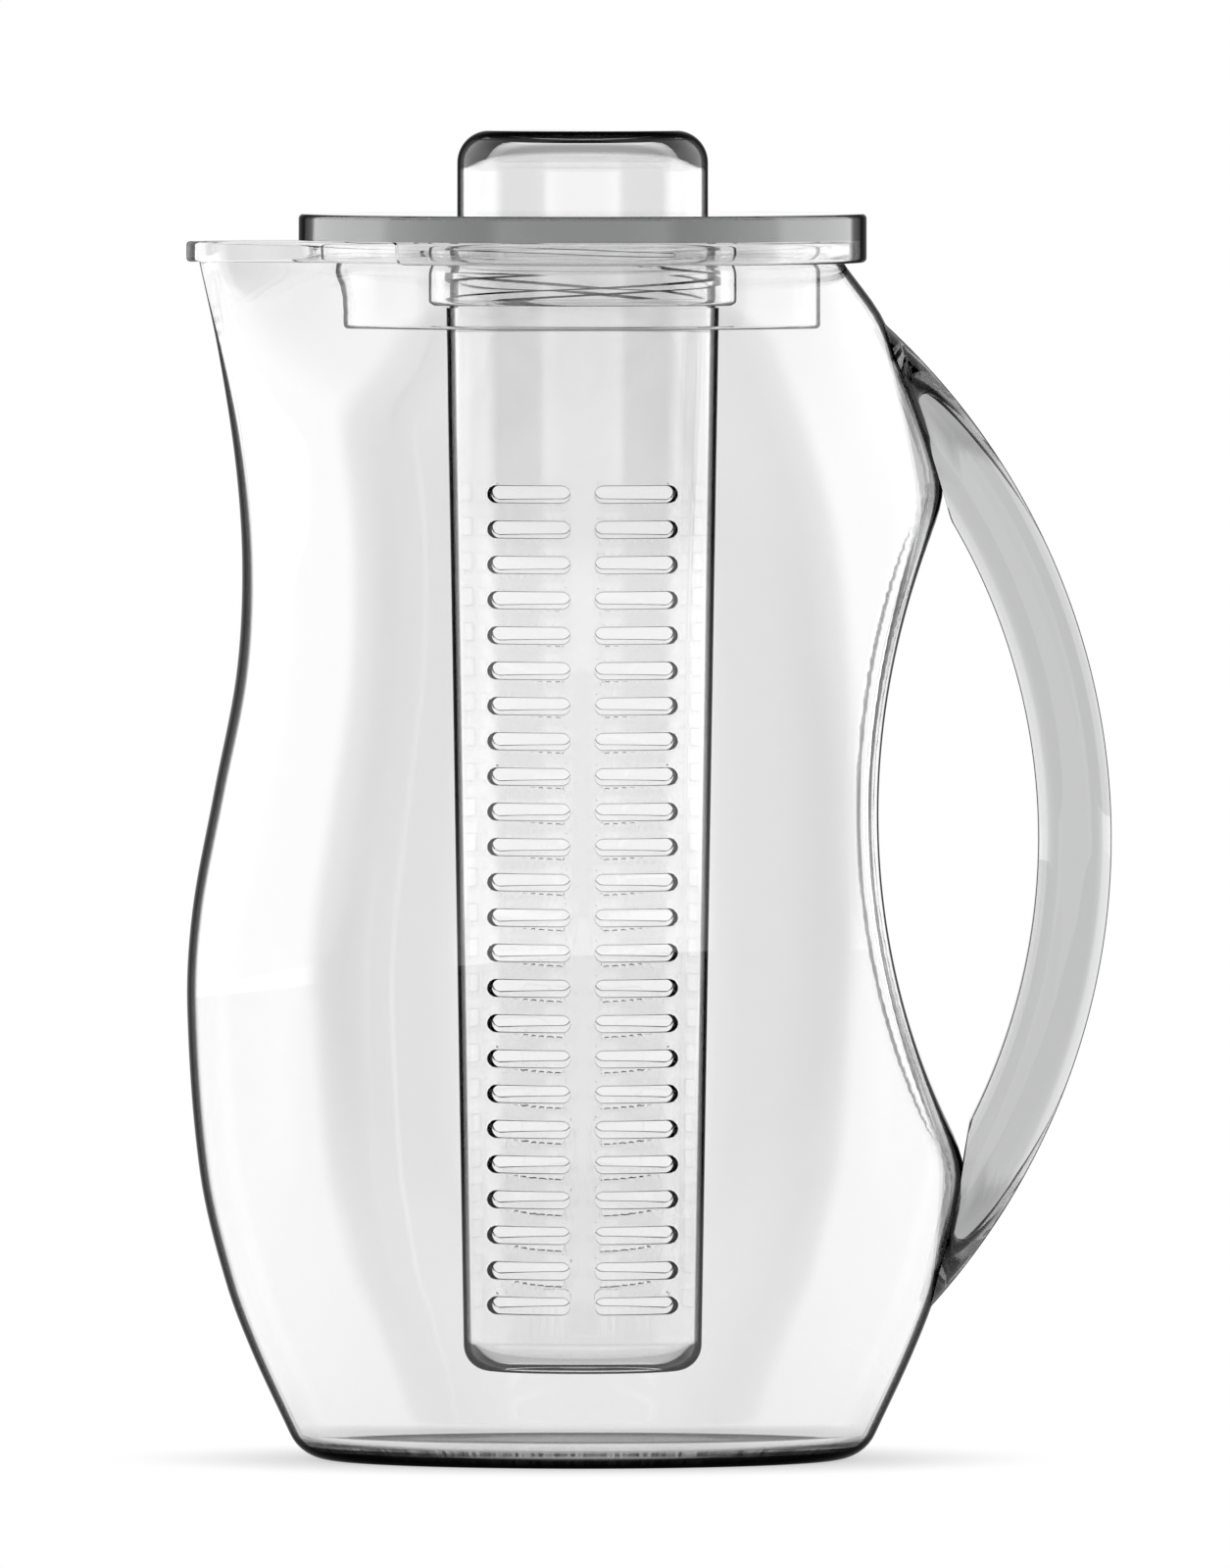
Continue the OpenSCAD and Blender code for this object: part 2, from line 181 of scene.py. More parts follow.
floor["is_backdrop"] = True

# The jug: one clear acrylic shell, blown with a round belly, a beak spout and a pinched
# waist on one side, and a hollow for the hand on the other. Its rim is rolled outward.
def mixed_colour(tree, share, first, second):
    return join(tree, "ShaderNodeMix", [(0, share), (6, first), (7, second)],
                data_type="RGBA").outputs[2]


# Reads the grey of the painted shade off a ramp, by how far a face turns from the eye.
def painted_shade_by_turn(tree, turned, stops):
    painted_shade = join(tree, "ShaderNodeValToRGB", [(0, turned)])
    ramp = painted_shade.color_ramp
    while len(ramp.elements) < len(stops):
        ramp.elements.new(0.5)
    for element, (facing, grey) in zip(ramp.elements, stops):
        element.position = facing
        element.color = (grey, grey, grey, 1)
    return painted_shade.outputs[0]


# The coat has almost no gloss of its own: it carries the painted shade in its tint.
barely_glossy = 1.01
polish_scale = 45.0
least_dull, most_dull = 0.0, 0.02
body_tint = (0.02, 0.03, 0.03, 1)
# The last grey is painted shade for edges where the light would be trapped.
painted_edge_grey = (0.05, 0.05, 0.05, 1)


# The coat's tint holds painted shade: dark rims where a face turns far from the eye, and in
# some pieces a slightly darker zone where it faces the eye, in place of light that the walls
# would trap or lose. The stops are pairs: how far a face turns away from the eye, and how much
# of its light the painted shade still lets through. Faces marked inner_face follow stops of
# their own. A second face mark paints darker shade on edges that would trap the light, once
# they turn away past edge_seen.
def clear_plastic(name, outer_stops, inner_stops, density, ior=1.58, edge_seen=(0.30, 0.45)):
    material = bpy.data.materials.new(name)
    material.use_nodes = True
    tree = material.node_tree
    shader = tree.nodes["Principled BSDF"]
    shader.inputs["Transmission Weight"].default_value = 1.0
    shader.inputs["Base Color"].default_value = (1, 1, 1, 1)
    shader.inputs["IOR"].default_value = ior
    shader.inputs["Coat Weight"].default_value = 1.0
    shader.inputs["Coat IOR"].default_value = barely_glossy
    shader.inputs["Coat Roughness"].default_value = 0.0
    place = join(tree, "ShaderNodeTexCoord").outputs["Object"]
    cloud = join(tree, "ShaderNodeTexNoise",
                 [("Vector", place), ("Scale", polish_scale), ("Detail", 3.0)])
    polish = fade_over(tree, cloud.outputs[0], 0.35, 0.7, least_dull, most_dull, "LINEAR")
    tree.links.new(polish, shader.inputs["Roughness"])
    turned = join(tree, "ShaderNodeLayerWeight", [("Blend", 0.5)]).outputs["Facing"]
    inside = join(tree, "ShaderNodeAttribute", attribute_name="inner_face").outputs["Fac"]
    painted_shade = mixed_colour(tree, inside, painted_shade_by_turn(tree, turned, outer_stops),
                         painted_shade_by_turn(tree, turned, inner_stops))
    edge_shade_mask = join(tree, "ShaderNodeAttribute", attribute_name="painted_edge_shade").outputs["Fac"]
    slanted = fade_over(tree, turned, edge_seen[0], edge_seen[1], 0.0, 1.0, "LINEAR")
    painted_coat_tint = mixed_colour(tree, maths(tree, "MULTIPLY", edge_shade_mask, slanted), painted_shade, painted_edge_grey)
    # The painted shade reaches the surface through the coat's tint.
    tree.links.new(painted_coat_tint, shader.inputs["Coat Tint"])
    volume = join(tree, "ShaderNodeVolumeAbsorption", [(0, body_tint), (1, density)])
    tree.links.new(volume.outputs[0], tree.nodes["Material Output"].inputs["Volume"])
    return material


def outward(face):
    return Vector((face.center.x, face.center.y, 0)).normalized()


inward_limit = -0.2
flat_limit = 0.97


def mark_inside(made):
    side = made.data.attributes.new("inner_face", "FLOAT", "FACE")
    for face in made.data.polygons:
        inward = face.normal.dot(outward(face)) < inward_limit
        side.data[face.index].value = float(inward or abs(face.normal.z) > flat_limit)


# Paints shade onto faces: darkness gives how much painted shade each face gets.
def paint_shade_marks(made, darkness):
    painted_edge_shade = made.data.attributes.new("painted_edge_shade", "FLOAT", "FACE")
    for face in made.data.polygons:
        painted_edge_shade.data[face.index].value = darkness(face)


rim_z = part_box("pitcher_body")[1].z
rim_h = 0.0042
rim_out = 0.0026
rim_round = 0.0008
neck_z = rim_z - rim_h
belly_r = 0.0809
wall_t = 0.0018
floor_t = 0.0032
base_corner_r = 0.009
floor_corner_r = 0.005
base_lean = math.radians(24)
beak_spread_deg = 14
waist_spread_deg = 50
beak_start_z = 0.200

# The hollow for the hand is an arc seen from the side, deepest at recess_x and recess_z.
recess_x = 0.0601
recess_r = 0.149
recess_z = 0.1328
recess_edge = 0.004
recess_reach = belly_r * 1.4
slope_step = 0.0005

# Both profiles are pairs: a share of the height to the neck, and the share of the belly's
# radius that the wall has there.
barrel_shares = [(0.02, 0.737), (0.089, 0.834), (0.147, 0.900), (0.237, 0.965), (0.389, 1),
                 (0.532, 0.998), (0.675, 0.977), (0.818, 0.909), (0.949, 0.763), (1, 0.656)]
spout_shares = [(0.02, 0.737), (0.089, 0.834), (0.147, 0.900), (0.237, 0.965), (0.376, 0.998),
                (0.458, 0.985), (0.556, 0.931), (0.655, 0.874), (0.741, 0.859),
                (0.826, 0.874), (0.925, 0.919), (1, 0.967)]


def mix(a, b, t):
    return a + (b - a) * t


def held(t):
    return min(max(t, 0), 1)


def ease(t):
    t = held(t)
    return t * t * (3 - 2 * t)


# Reads a smooth curve through the pairs.
def curve_at(points, s):
    i = 0
    while i < len(points) - 2 and s > points[i + 1][0]:
        i += 1

    def slope(k):
        a, b = points[max(k - 1, 0)], points[min(k + 1, len(points) - 1)]
        return (b[1] - a[1]) / (b[0] - a[0])

    (s0, r0), (s1, r1) = points[i], points[i + 1]
    w = s1 - s0
    t = (s - s0) / w
    return ((1 + 2 * t) * (1 - t) ** 2 * r0 + t * (1 - t) ** 2 * w * slope(i)
            + t * t * (3 - 2 * t) * r1 - t * t * (1 - t) * w * slope(i + 1))


def barrel_r(z):
    return belly_r * curve_at(barrel_shares, z / neck_z)


# The wall's outer radius without the hollow for the hand.
def free_r(angle, z):
    narrow = ease((z - beak_start_z) / (neck_z - beak_start_z))
    spread = mix(waist_spread_deg, beak_spread_deg, narrow)
    off_spout = 180 - abs(math.degrees(angle))
    part = math.exp(-(off_spout / spread) ** 2)
    return mix(barrel_r(z), belly_r * curve_at(spout_shares, z / neck_z), part)


# The wall's radius with the hollow, whose edge is rounded, set in from the outside.
def jug_r(angle, z, inset):
    slope = (free_r(angle, z + slope_step) - free_r(angle, z - slope_step)) / (2 * slope_step)
    round_r = free_r(angle, z) - inset * math.hypot(1, slope)
    drop = min(abs(z - recess_z), recess_reach)
    depth = math.sqrt(recess_r ** 2 - drop ** 2)
    flat_x = recess_x + recess_r - depth - inset * recess_r / depth
    if math.cos(angle) * round_r < flat_x - recess_edge:
        return round_r
    flat_r = flat_x / math.cos(angle)
    near = max(recess_edge - abs(round_r - flat_r), 0)
    return min(round_r, flat_r) - near ** 2 / (4 * recess_edge)


jug_steps = 360
wall_steps = 90
corner_steps = 8
rim_steps = 5
jug_smooth_below = math.radians(75)

# Each point of the half outline: where the shape is read, where it lies, how far it is set
# in from the outside and how far it stands out again.
corner_top = base_corner_r * (1 - math.sin(base_lean))
floor_corner_top = floor_t + floor_corner_r * (1 - math.sin(base_lean))


def corner_points(flat_z, corner_r, inset, top_z):
    made = []
    for i in range(corner_steps + 1):
        turn = mix(0, math.pi / 2 - base_lean, i / corner_steps)
        made.append((top_z, flat_z + corner_r * (1 - math.cos(turn)), inset,
                     corner_r * (math.sin(turn) - math.cos(base_lean))))
    return made


def wall_points(low_z, inset):
    made = []
    for i in range(1, wall_steps + 1):
        z = mix(low_z, neck_z, i / wall_steps)
        made.append((z, z, inset, 0))
    return made


def rim_points():
    made = []
    rounds = [(neck_z + rim_round, -90, 0, 0), (rim_z - rim_round, 0, 90, 0)]
    for mid_z, first, last, inset in rounds:
        for i in range(rim_steps + 1):
            turn = math.radians(mix(first, last, i / rim_steps))
            made.append((neck_z, mid_z + rim_round * math.sin(turn), inset,
                         rim_out - rim_round + rim_round * math.cos(turn)))
    for i in range(rim_steps + 1):
        turn = math.radians(mix(90, 0, i / rim_steps))
        made.append((neck_z, rim_z - rim_round + rim_round * math.sin(turn), wall_t,
                     rim_round - rim_round * math.cos(turn)))
    return made


outline = (corner_points(0, base_corner_r, 0, corner_top) + wall_points(corner_top, 0)
           + rim_points() + wall_points(floor_corner_top, wall_t)[::-1]
           + corner_points(floor_t, floor_corner_r, wall_t, floor_corner_top)[::-1])


smooth_below = math.radians(35)


def finished(name, bm, material, angle=smooth_below):
    mesh = bpy.data.meshes.new(name)
    bm.to_mesh(mesh)
    bm.free()
    mesh.materials.append(material)
    mesh.shade_smooth()
    mesh.set_sharp_from_angle(angle=angle)
    made = bpy.data.objects.new(name, mesh)
    bpy.context.collection.objects.link(made)
    return made


# The jug's painted shade: dark rims where the wall turns far from the eye, a slightly darker
# zone facing it.
jug_plastic = clear_plastic(
    "clear_jug_acrylic",
    [(0.05, 0.995), (0.08, 0.97), (0.20, 0.97), (0.28, 1.0),
     (0.78, 1.0), (0.81, 0.6), (0.86, 0.5), (0.88, 0.05)],
    [(0.05, 0.995), (0.08, 0.97), (0.20, 0.97), (0.28, 1.0), (0.9, 1.0), (0.94, 0.6)], 1)

# The half outline is spun as a plain cylinder that keeps its readings on its points, and
# then every point moves out to the jug's shape.
bm = bmesh.new()
shape_z = bm.verts.layers.float.new("shape_z")
inset_by = bm.verts.layers.float.new("inset_by")
out_by = bm.verts.layers.float.new("out_by")
chain = []
for read_z, z, inset, out in outline:
    point = bm.verts.new((belly_r, 0, z))
    point[shape_z], point[inset_by], point[out_by] = read_z, inset, out
    chain.append(point)
edges = [bm.edges.new(pair) for pair in zip(chain, chain[1:])]
bmesh.ops.spin(bm, geom=chain + edges, angle=2 * math.pi, steps=jug_steps, use_merge=True,
               axis=(0, 0, 1), cent=(0, 0, 0))
for v in bm.verts:
    angle = math.atan2(v.co.y, v.co.x)
    r = jug_r(angle, v[shape_z], v[inset_by]) + v[out_by]
    v.co.x, v.co.y = r * math.cos(angle), r * math.sin(angle)
bmesh.ops.holes_fill(bm, edges=[e for e in bm.edges if e.is_boundary])
caps = [f for f in bm.faces if len(f.verts) > 4]
for ring_share in (0.27, 0.18):
    bmesh.ops.inset_region(bm, faces=caps, thickness=belly_r * ring_share,
                           use_even_offset=True)
bmesh.ops.poke(bm, faces=caps)
bmesh.ops.recalc_face_normals(bm, faces=bm.faces)
jug = finished("jug_shell", bm, jug_plastic, jug_smooth_below)
mark_inside(jug)
# Painted shade on the base's rounded corner, darkest where its faces turn down.
base_dark = 0.9
base_dark_from = 0.55
base_dark_over = 0.2


def base_corner_painted_shade(face):
    if face.center.z > base_corner_r:
        return 0
    return base_dark * held((-face.normal.z - base_dark_from) / base_dark_over)


paint_shade_marks(jug, base_corner_painted_shade)
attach(jug, "pitcher")
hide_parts("pitcher_body", "pitcher_floor")

# The handle: a solid bar of clear acrylic, bent to an arc and glued to the barrel above
# and below the hollow for the hand. Both feet are cut to the barrel's curve.
grip_outer_r = 0.1422
grip_t = 0.015
grip_w = 0.024
grip_edge_r = 0.006
grip_far_x = 0.1079
grip_x = grip_far_x - grip_outer_r
grip_z = 0.1268
grip_inner_r = grip_outer_r - grip_t
glue_gap = 0.00006
grip_steps = 90
edge_steps = 7
end_rings = 3
end_ring_w = grip_t * 0.14
foot_tries = 40

# Each foot ends between a turn inside the jug's wall and one outside it.
top_search = (math.radians(53), math.radians(20))
bottom_search = (math.radians(-50), math.radians(-20))


def foot_angle(ring_r, y, inside, outside):
    for _ in range(foot_tries):
        middle = (inside + outside) / 2
        x = grip_x + ring_r * math.cos(middle)
        z = grip_z + ring_r * math.sin(middle)
        if math.hypot(x, y) < barrel_r(z) + glue_gap:
            inside = middle
        else:
            outside = middle
    return outside


# The feet's painted shade stays dark from every side, so their edge_seen lies below any turn.
# The stops paint dark rims where the bar turns far from the eye.
handle_plastic = clear_plastic(
    "clear_handle_acrylic",
    [(0.20, 0.97), (0.28, 1.0), (0.72, 1.0), (0.80, 0.6), (0.88, 0.15)],
    [(0.20, 0.97), (0.28, 1.0)], 21, edge_seen=(-1.0, -0.5))

# A straight bar of length 1 is cut across into steps and bent along the arc.
bm = bmesh.new()
bmesh.ops.create_cube(bm, size=1)
bmesh.ops.scale(bm, vec=(grip_t, grip_w, 1), verts=bm.verts)
bmesh.ops.translate(bm, vec=(0, 0, 0.5), verts=bm.verts)
long_edges = [e for e in bm.edges if abs(e.verts[0].co.z - e.verts[1].co.z) > 0.5]
bmesh.ops.bevel(bm, geom=long_edges, offset=grip_edge_r, segments=edge_steps, affect="EDGES",
                profile=0.5, material=-1)
ends = [f for f in bm.faces if abs(f.normal.z) > 0.9]
for _ in range(end_rings):
    bmesh.ops.inset_individual(bm, faces=ends, thickness=end_ring_w, use_even_offset=True)
bmesh.ops.poke(bm, faces=ends)
for i in range(1, grip_steps):
    bmesh.ops.bisect_plane(bm, geom=bm.verts[:] + bm.edges[:] + bm.faces[:],
                           plane_co=(0, 0, i / grip_steps), plane_no=(0, 0, 1))
for v in bm.verts:
    ring_r = (grip_outer_r + grip_inner_r) / 2 + v.co.x
    y = v.co.y
    top = foot_angle(ring_r, y, *top_search)
    bottom = foot_angle(ring_r, y, *bottom_search)
    turn = mix(bottom, top, v.co.z)
    v.co = (grip_x + ring_r * math.cos(turn), y, grip_z + ring_r * math.sin(turn))
bmesh.ops.recalc_face_normals(bm, faces=bm.faces)
grip = finished("handle_bar", bm, handle_plastic)
flats = grip.modifiers.new("flat_sides", "WEIGHTED_NORMAL")
flats.keep_sharp = True

# Where the painted shade of the feet begins, as turns round the arc at the bar's inner and
# outer side. It stands in for the dark wedge that light trapped in each glued foot gives.
top_foot_start = (math.radians(40), math.radians(32))
bottom_foot_start = (math.radians(33), math.radians(29))
foot_blur = math.radians(1.5)
foot_fade = math.radians(9)
foot_dark = 0.25
foot_paling = 0.8
painted_edge_shade = grip.data.attributes.new("painted_edge_shade", "FLOAT", "POINT")
for v in grip.data.vertices:
    turn = math.atan2(v.co.z - grip_z, v.co.x - grip_x)
    out = (math.hypot(v.co.z - grip_z, v.co.x - grip_x) - grip_inner_r) / grip_t
    inner_start, outer_start = top_foot_start if turn > 0 else bottom_foot_start
    past = abs(turn) - mix(inner_start, outer_start, out)
    shade = held(past / foot_blur) * (1 - foot_paling * held(past / foot_fade))
    painted_edge_shade.data[v.index].value = foot_dark * shade
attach(grip, "pitcher")
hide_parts("handle")

# The lid's cover: a thick disc moulded of clear acrylic, with rounded edges. Its skirt
# drops round the handle side and is left out over the spout, where the jug pours.
lid_low, lid_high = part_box("lid_cover")
lid_r = lid_high.x
lid_top_z = lid_high.z
lid_t = 0.0054
lid_z = lid_top_z - lid_t
skirt_z = lid_low.z
skirt_t = 0.0019
skirt_half_deg = 131
skirt_corner_r = 0.002
skirt_root_r = 0.001
lid_edge_r = 0.001
lid_steps = 180
support_gap = 0.00015
same_point = 0.000001
least_wall = 6 * support_gap
least_bend = math.radians(2)


# Adds a ring close to each side of a bend, so that smooth shading leaves straight walls
# straight.
def supported(outline):
    points = [Vector(point) for point in outline]
    made = [outline[0]]
    for i in range(1, len(points)):
        here, there = points[i - 1], points[i]
        along = there - here
        if along.length > least_wall:
            step = along.normalized() * support_gap
            if i > 1 and (here - points[i - 2]).angle(along) > least_bend:
                made.append(tuple(here + step))
            if i < len(points) - 1 and along.angle(points[i + 1] - there) > least_bend:
                made.append(tuple(there - step))
        made.append(outline[i])
    return made


# Spins an outline of radii and heights round the upright axis.
def spun(name, outline, steps, material):
    points = supported(outline)
    bm = bmesh.new()
    chain = [bm.verts.new((r, 0, z)) for r, z in points]
    loop = chain + chain[:1] if points[0][0] > 0 and points[-1][0] > 0 else chain
    edges = [bm.edges.new(pair) for pair in zip(loop, loop[1:])]
    bmesh.ops.spin(bm, geom=chain + edges, angle=2 * math.pi, steps=steps, use_merge=True,
                   axis=(0, 0, 1), cent=(0, 0, 0))
    bmesh.ops.remove_doubles(bm, verts=bm.verts, dist=same_point)
    bmesh.ops.recalc_face_normals(bm, faces=bm.faces)
    return finished(name, bm, material)


def round_corner(r, z, radius, first, last, steps=6):
    turns = [math.radians(mix(first, last, i / steps)) for i in range(steps + 1)]
    return [(r + radius * math.cos(t), z + radius * math.sin(t)) for t in turns]


# Pushes a cutter's outline through each step, a depth and how far it is widened there. It
# widens away from its spine, a line from low to high at one height.
def punch(bm, outline, place, steps=((0, 0), (1, 0)), spine=None):
    ring = [bm.verts.new((along, up, 0)) for along, up in outline]
    face = bm.faces.new(ring)
    wide_before = 0
    every = []
    for depth, wide in steps:
        for v in ring:
            v.co.z = depth
            if spine:
                low, high, middle_z = spine
                nearest_x = min(max(v.co.x, low), high)
                off = Vector((v.co.x - nearest_x, v.co.y - middle_z)).normalized()
                v.co.x += off.x * (wide - wide_before)
                v.co.y += off.y * (wide - wide_before)
        every += ring
        wide_before = wide
        if depth != steps[-1][0]:
            grown = bmesh.ops.extrude_face_region(bm, geom=[face] + list(face.edges))["geom"]
            ring = [v for v in grown if isinstance(v, bmesh.types.BMVert)]
            face = [f for f in grown if isinstance(f, bmesh.types.BMFace)][0]
    for v in every:
        v.co = place(*v.co)


# Adds the shape in bm to a piece or cuts it away, and keeps the piece's name.
def joined(made, bm, operation):
    bmesh.ops.recalc_face_normals(bm, faces=bm.faces)
    tool_mesh = bpy.data.meshes.new("tool")
    bm.to_mesh(tool_mesh)
    bm.free()
    tool = bpy.data.objects.new("tool", tool_mesh)
    bpy.context.collection.objects.link(tool)
    step = made.modifiers.new("step", "BOOLEAN")
    step.operation = operation
    step.solver = "MANIFOLD"
    step.object = tool
    result = made.evaluated_get(bpy.context.evaluated_depsgraph_get())
    old_mesh = made.data
    name = old_mesh.name
    made.data = bpy.data.meshes.new_from_object(result)
    made.modifiers.clear()
    bpy.data.objects.remove(tool)
    bpy.data.meshes.remove(tool_mesh)
    bpy.data.meshes.remove(old_mesh)
    made.data.name = name
    made.data.shade_smooth()
    made.data.set_sharp_from_angle(angle=smooth_below)


# The lid's painted shade: dark rims where its edges turn far from the eye; flat faces stay
# clear.
lid_plastic = clear_plastic(
    "clear_lid_acrylic",
    [(0.20, 1.0), (0.66, 1.0), (0.70, 0.6), (0.78, 0.5), (0.81, 0.05)],
    [(0.5, 0.98), (0.54, 1.0), (0.90, 1.0), (0.95, 0.985)], 13)
lid_mid_r = lid_r * 0.5
outline = ([(0, lid_z), (lid_mid_r, lid_z), (lid_r - skirt_t, lid_z),
            (lid_r - skirt_t, skirt_z)]
           + round_corner(lid_r - lid_edge_r, skirt_z + lid_edge_r, lid_edge_r, -90, 0)
           + round_corner(lid_r - lid_edge_r, lid_top_z - lid_edge_r, lid_edge_r, 0, 90)
           + [(lid_mid_r, lid_top_z), (0, lid_top_z)])
cover = spun("lid_disc", outline, lid_steps, lid_plastic)

# The opening over the spout, laid out flat with its middle at 0 and then bent round.
open_half = lid_r * math.radians(180 - skirt_half_deg)
opening_side = ([(open_half + skirt_corner_r, skirt_z - lid_edge_r)]
                + round_corner(open_half + skirt_corner_r, skirt_z + skirt_corner_r,
                               skirt_corner_r, 270, 180)
                + round_corner(open_half - skirt_root_r, lid_z - skirt_root_r,
                               skirt_root_r, 0, 90))
opening_steps = 48
opening_from = lid_r * 0.85
opening_to = lid_r * 1.8
opening_top = [(mix(open_half, -open_half, i / opening_steps), lid_z)
               for i in range(2, opening_steps - 1)]
opening_low = [(mix(-open_half, open_half, i / opening_steps), skirt_z - lid_edge_r)
               for i in range(opening_steps + 1)]


def round_the_spout(along, up, depth):
    angle = math.pi + along / lid_r
    r = mix(opening_from, opening_to, depth)
    return Vector((r * math.cos(angle), r * math.sin(angle), up))


bm = bmesh.new()
punch(bm, opening_side + opening_top + [(-s, z) for s, z in opening_side[::-1]] + opening_low,
      round_the_spout)
joined(cover, bm, "DIFFERENCE")
mark_inside(cover)
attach(cover, "lid")
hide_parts("lid_cover")

# The plug ring: a thin moulded ring of clear acrylic, round at its lower edge. It is glued
# under the disc and centres the lid in the mouth.
plug_low, plug_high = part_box("lid_plug_ring")
plug_t = 0.0015
plug_r = plug_high.x
outline = ([(plug_r - plug_t, plug_high.z), (plug_r - plug_t, plug_low.z + plug_t / 2)]
           + round_corner(plug_r - plug_t / 2, plug_low.z + plug_t / 2, plug_t / 2,
                          180, 360)[1:]
           + [(plug_r, plug_high.z)])
# Painted shade: dark rims where the rings' outer faces turn far from the eye.
ring_plastic = clear_plastic(
    "clear_ring_acrylic",
    [(0.20, 1.0), (0.80, 1.0), (0.84, 0.7), (0.90, 0.5), (0.92, 0.05)],
    [(0.20, 1.0), (0.90, 1.0)], 1, ior=1.4)
ring_steps = 144
plug = spun("plug_ring", outline, ring_steps, ring_plastic)
mark_inside(plug)
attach(plug, "lid")
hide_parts("lid_plug_ring")

# The collar: a heavier moulded ring of clear acrylic, glued under the disc. Its bore takes
# the infuser's threaded neck.
collar_low, collar_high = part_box("infuser_collar")
collar_r = collar_high.x
collar_t = 0.0028
outline = ([(collar_r - collar_t, collar_high.z), (collar_r - collar_t, collar_low.z)]
           + round_corner(collar_r - collar_t / 2, collar_low.z + collar_t / 2,
                          collar_t / 2, -90, 0)
           + [(collar_r, collar_high.z)])
collar = spun("infuser_collar_ring", outline, ring_steps, ring_plastic)
mark_inside(collar)
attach(collar, "lid")
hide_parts("infuser_collar")

# The knob: a hollow cap with a thick crown, moulded of clear acrylic and glued mouth down
# on the disc.
knob_low, knob_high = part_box("lid_knob")
knob_r = knob_high.x
knob_wall_t = 0.0015
knob_top_t = 0.0032
knob_edge_r = 0.0066
knob_inner_edge_r = knob_edge_r - knob_wall_t
knob_mid_r = knob_r * 0.4
knob_ceiling_z = knob_high.z - knob_top_t
outline = ([(0, knob_high.z), (knob_mid_r, knob_high.z)]
           + round_corner(knob_r - knob_edge_r, knob_high.z - knob_edge_r, knob_edge_r,
                          90, 0, steps=14)
           + [(knob_r, knob_low.z), (knob_r - knob_wall_t, knob_low.z)]
           + round_corner(knob_r - knob_wall_t - knob_inner_edge_r,
                          knob_ceiling_z - knob_inner_edge_r, knob_inner_edge_r,
                          0, 90, steps=14)
           + [(knob_mid_r, knob_ceiling_z), (0, knob_ceiling_z)])
knob = spun("knob_cap", outline, ring_steps, lid_plastic)
mark_inside(knob)
# Painted shade on the knob's rounded crown, a dark band round its flat top.
crown_dark = 0.9
crown_dark_from = 0.7
crown_dark_over = 0.15
crown_flat = 0.995


def crown_painted_shade(face):
    if face.center.z < knob_high.z - knob_edge_r or face.normal.z > crown_flat:
        return 0
    return crown_dark * held((face.normal.z - crown_dark_from) / crown_dark_over)


paint_shade_marks(knob, crown_painted_shade)
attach(knob, "lid")
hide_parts("lid_knob")

# The infuser: a tapered tube moulded of clear acrylic, with a closed, rounded end and
# columns of slots. A two-start thread on its neck screws it into the collar.
tube_low, tube_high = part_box("infuser_tube")
tube_z = tube_low.z
neck_top_z = tube_high.z
shoulder_gap = 0.0003
shoulder_z = collar_low.z - shoulder_gap
tube_top_r = 0.0278
tube_bottom_r = 0.0243
tube_wall_t = 0.0015
tube_floor_t = 0.0026
tube_edge_r = 0.0054
neck_r = 0.0271
thread_h = 0.0011
thread_w = 0.0018
thread_lead = 0.0084
thread_z = 0.2361
slot_rows = 24
slot_pitch = 0.00718
slot_h = 0.0034
slot_lift = 0.0139
slot_z = tube_z + slot_lift
slot_near = 0.00255
slot_far = 0.01935
tube_steps = 180


def tube_r(z):
    side_z = tube_z + tube_edge_r
    return mix(tube_bottom_r, tube_top_r, max(z - side_z, 0) / (shoulder_z - side_z))


tube_inner_edge_r = tube_edge_r - tube_wall_t
inner_floor_z = tube_z + tube_floor_t
neck_bore_r = neck_r - tube_wall_t
end_mid_r = tube_bottom_r * 0.4
ring_heights = [slot_z + (k - 0.5) * slot_pitch for k in range(1, slot_rows + 1)]
outline = ([(0, tube_z), (end_mid_r, tube_z)]
           + round_corner(tube_bottom_r - tube_edge_r, tube_z + tube_edge_r, tube_edge_r,
                          -90, 0, steps=12)
           + [(tube_r(z), z) for z in ring_heights]
           + [(tube_top_r, shoulder_z), (neck_r, shoulder_z), (neck_r, neck_top_z),
              (neck_bore_r, neck_top_z)]
           + [(tube_r(z) - tube_wall_t, z) for z in ring_heights[::-1]]
           + round_corner(tube_bottom_r - tube_wall_t - tube_inner_edge_r,
                          inner_floor_z + tube_inner_edge_r, tube_inner_edge_r,
                          0, -90, steps=12)
           + [(end_mid_r, inner_floor_z), (0, inner_floor_z)])
# Painted shade: dark rims where the tube's outer faces turn far from the eye.
tube_plastic = clear_plastic(
    "clear_infuser_acrylic",
    [(0.20, 1.0), (0.64, 1.0), (0.67, 0.65), (0.76, 0.5), (0.79, 0.05)],
    [(0.5, 0.99), (0.54, 1.0)], 1, ior=1.49)
tube = spun("infuser_slotted_tube", outline, tube_steps, tube_plastic)

